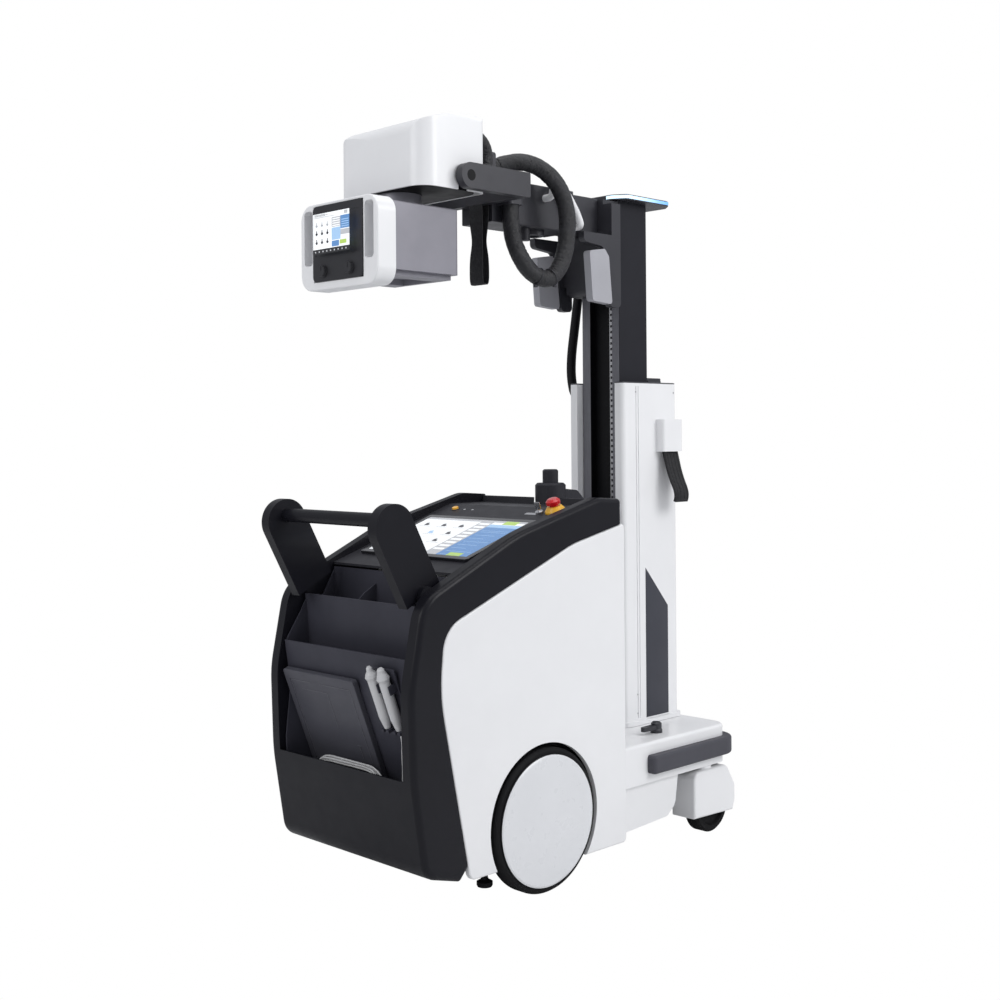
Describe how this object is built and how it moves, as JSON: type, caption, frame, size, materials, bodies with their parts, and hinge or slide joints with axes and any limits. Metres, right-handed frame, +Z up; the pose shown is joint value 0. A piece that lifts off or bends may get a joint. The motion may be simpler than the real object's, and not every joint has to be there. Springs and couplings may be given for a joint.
{
  "type": "mobile x-ray machine",
  "caption": "Motor-driven mobile x-ray cart with touch console, storage bins and a turning telescopic column that carries the tube head on a reaching arm.",
  "frame": {"origin": "on the floor, in the middle of the length and width of the overall box", "axes": "+X forwards from the operator's handle to the column, +Y to the left, +Z up"},
  "size_m": [1.293, 0.596, 1.939],
  "materials": {
    "white_shell": "smooth moulded, satin gloss",
    "dark_shell": "fine matt texture",
    "charcoal_bin": "fine matt texture",
    "grey_plastic": "smooth matt",
    "silver_paint": "silver powder coat",
    "dark_metal": "satin powder coat",
    "frame_metal": "powder coat",
    "bright_metal": "brushed",
    "steel": "zinc plated",
    "tyre_rubber": "solid tyre",
    "bumper_rubber": "smooth grey",
    "foot_rubber": "matt",
    "screen_glass": "lit display under clear cover",
    "sleeve_fabric": "coated fabric sleeve",
    "strap_fabric": "woven strap",
    "cord_dark": "smooth jacket",
    "cord_white": "smooth jacket",
    "amber": "translucent button",
    "yellow": "smooth",
    "red": "smooth",
    "pale_plastic": "smooth"
  },
  "bodies": {
    "cart": {"side_cover_right": "white_shell", "side_cover_left": "white_shell", "rear_cheek_right": "dark_shell", "rear_cheek_left": "dark_shell", "lower_rear_panel": "dark_shell", "storage_bin": "charcoal_bin", "console_deck": "dark_shell", "touch_screen": "screen_glass", "stop_base": "yellow", "dock_post": "dark_metal", "handle": "dark_shell", "chassis_frame": "frame_metal", "battery_pack": "dark_shell", "hv_generator": "silver_paint", "drive_motors": "steel", "rear_feet": "foot_rubber", "base_skirt": "white_shell", "deck_cover": "white_shell", "bumper": "bumper_rubber", "turntable_ring": "steel", "switch_cord": "cord_white", "cord_coil": "cord_white"},
    "drive_wheel_right": {"drive_tyre_right": "tyre_rubber", "drive_rim_right": "white_shell"},
    "drive_wheel_left": {"drive_tyre_left": "tyre_rubber", "drive_rim_left": "white_shell"},
    "caster_right": {"caster_shroud_right": "white_shell"},
    "caster_left": {"caster_shroud_left": "white_shell"},
    "caster_roller_right": {"caster_wheel_right": "tyre_rubber"},
    "caster_roller_left": {"caster_wheel_left": "tyre_rubber"},
    "power_key": {"power_button": "amber"},
    "key": {"key_switch": "steel"},
    "stop": {"stop_button": "red"},
    "column": {"outer_column": "white_shell", "column_strap": "strap_fabric"},
    "column_lock": {"deck_lock_knob": "grey_plastic"},
    "mast": {"inner_mast": "dark_metal", "rack_strip": "silver_paint", "mast_cap": "dark_metal", "supply_cord": "cord_dark"},
    "lift": {"carriage": "dark_metal", "carriage_grips": "grey_plastic", "arm_beam": "dark_metal"},
    "spar": {"arm_spar": "bright_metal"},
    "arm": {"arm_tube": "dark_metal", "arm_hoop": "white_shell", "sleeve_loop": "sleeve_fabric"},
    "fork": {"yoke": "dark_metal", "hang_strap": "strap_fabric"},
    "head": {"tube_cover": "white_shell", "tube_housing": "dark_metal", "sleeve_top": "sleeve_fabric"},
    "collimator": {"collimator_box": "silver_paint", "display_frame": "pale_plastic", "display_panel": "pale_plastic"},
    "dial_left": {"knob_left": "grey_plastic"},
    "dial_right": {"knob_right": "grey_plastic"},
    "detector_panel": {"detector": "grey_plastic"},
    "switch_right": {"hand_switch_right": "pale_plastic"},
    "switch_left": {"hand_switch_left": "pale_plastic"}
  },
  "joints": [
    {"name": "drive_spin_right", "type": "hinge", "parent": "cart", "child": "drive_wheel_right", "pos_m": [-0.1515, -0.26, 0.18], "axis": [0, 1, 0], "continuous": true},
    {"name": "drive_spin_left", "type": "hinge", "parent": "cart", "child": "drive_wheel_left", "pos_m": [-0.1515, 0.26, 0.18], "axis": [0, 1, 0], "continuous": true},
    {"name": "caster_swivel_right", "type": "hinge", "parent": "cart", "child": "caster_right", "pos_m": [0.5285, -0.237, 0.2], "axis": [0, 0, 1], "continuous": true},
    {"name": "caster_swivel_left", "type": "hinge", "parent": "cart", "child": "caster_left", "pos_m": [0.5285, 0.237, 0.2], "axis": [0, 0, 1], "continuous": true},
    {"name": "caster_roll_right", "type": "hinge", "parent": "caster_right", "child": "caster_roller_right", "pos_m": [0.5575, -0.237, 0.075], "axis": [0, 1, 0], "continuous": true},
    {"name": "caster_roll_left", "type": "hinge", "parent": "caster_left", "child": "caster_roller_left", "pos_m": [0.5575, 0.237, 0.075], "axis": [0, 1, 0], "continuous": true},
    {"name": "power_press", "type": "slide", "parent": "cart", "child": "power_key", "axis": [-0.3128, 0, 0.9498], "range_m": [-0.0025, 0], "stiffness_N_per_m": 900},
    {"name": "key_turn", "type": "hinge", "parent": "cart", "child": "key", "pos_m": [-0.0315, -0.148, 0.93549], "axis": [-0.3128, 0, 0.9498], "range_deg": [-90, 0]},
    {"name": "stop_press", "type": "slide", "parent": "cart", "child": "stop", "axis": [-0.3128, 0, 0.9498], "range_m": [-0.0045, 0], "stiffness_N_per_m": 1500},
    {"name": "column_turn", "type": "hinge", "parent": "cart", "child": "column", "pos_m": [0.4845, 0, 0.306], "axis": [0, 0, 1], "range_deg": [-270, 270]},
    {"name": "column_lock_turn", "type": "hinge", "parent": "cart", "child": "column_lock", "pos_m": [0.3755, -0.205, 0.305], "axis": [0, 0, 1], "range_deg": [0, 60]},
    {"name": "mast_lift", "type": "slide", "parent": "column", "child": "mast", "axis": [0, 0, 1], "range_m": [-0.495, 0]},
    {"name": "carriage_lift", "type": "slide", "parent": "mast", "child": "lift", "axis": [0, 0, 1], "range_m": [-0.42, 0]},
    {"name": "arm_reach", "type": "slide", "parent": "lift", "child": "spar", "axis": [-1, 0, 0], "range_m": [-0.0375, 0.15]},
    {"name": "arm_follow", "type": "slide", "parent": "spar", "child": "arm", "axis": [-1, 0, 0], "range_m": [-0.0375, 0.15]},
    {"name": "yoke_roll", "type": "hinge", "parent": "arm", "child": "fork", "pos_m": [-0.108, 0, 1.776], "axis": [1, 0, 0], "range_deg": [-180, 180]},
    {"name": "head_tilt", "type": "hinge", "parent": "fork", "child": "head", "pos_m": [-0.3165, 0, 1.778], "axis": [0, 1, 0], "range_deg": [-15, 90]},
    {"name": "collimator_turn", "type": "hinge", "parent": "head", "child": "collimator", "pos_m": [-0.3765, 0, 1.725], "axis": [0, 0, 1], "range_deg": [-90, 90]},
    {"name": "dial_left_turn", "type": "hinge", "parent": "collimator", "child": "dial_left", "pos_m": [-0.5778, 0.052, 1.544], "axis": [1, 0, 0], "range_deg": [-135, 135]},
    {"name": "dial_right_turn", "type": "hinge", "parent": "collimator", "child": "dial_right", "pos_m": [-0.5778, -0.052, 1.544], "axis": [1, 0, 0], "range_deg": [-135, 135]},
    {"name": "detector_out", "type": "slide", "parent": "cart", "child": "detector_panel", "axis": [-0.3584, 0, 0.9336], "range_m": [0, 0.34]},
    {"name": "switch_right_out", "type": "slide", "parent": "cart", "child": "switch_right", "axis": [-0.3584, 0, 0.9336], "range_m": [0, 0.1]},
    {"name": "switch_left_out", "type": "slide", "parent": "cart", "child": "switch_left", "axis": [-0.3584, 0, 0.9336], "range_m": [0, 0.1]}
  ],
  "couplings": [
    {"joint": "arm_follow", "follows": "arm_reach", "ratio": 1}
  ]
}
